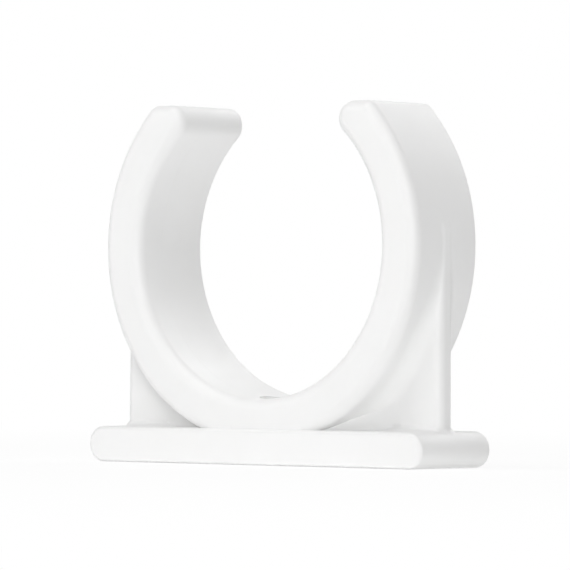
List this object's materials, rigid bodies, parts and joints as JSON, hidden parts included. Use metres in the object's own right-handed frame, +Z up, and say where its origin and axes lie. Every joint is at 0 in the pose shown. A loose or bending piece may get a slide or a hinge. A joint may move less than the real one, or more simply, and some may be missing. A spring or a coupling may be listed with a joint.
{
  "type": "filter housing clip",
  "caption": "Open C-ring clip on a flat base: springs over a round filter housing and holds it to a panel, with upright gussets and a countersunk screw hole.",
  "frame": {"origin": "middle of the underside of the base", "axes": "+X along the base, +Y along the axis of the held housing, +Z up through the mouth of the ring"},
  "size_m": [0.0696, 0.0188, 0.0591],
  "materials": {
    "white_polypropylene": "satin, as moulded"
  },
  "bodies": {
    "root": {"housing_clip": "white_polypropylene"}
  },
  "joints": []
}
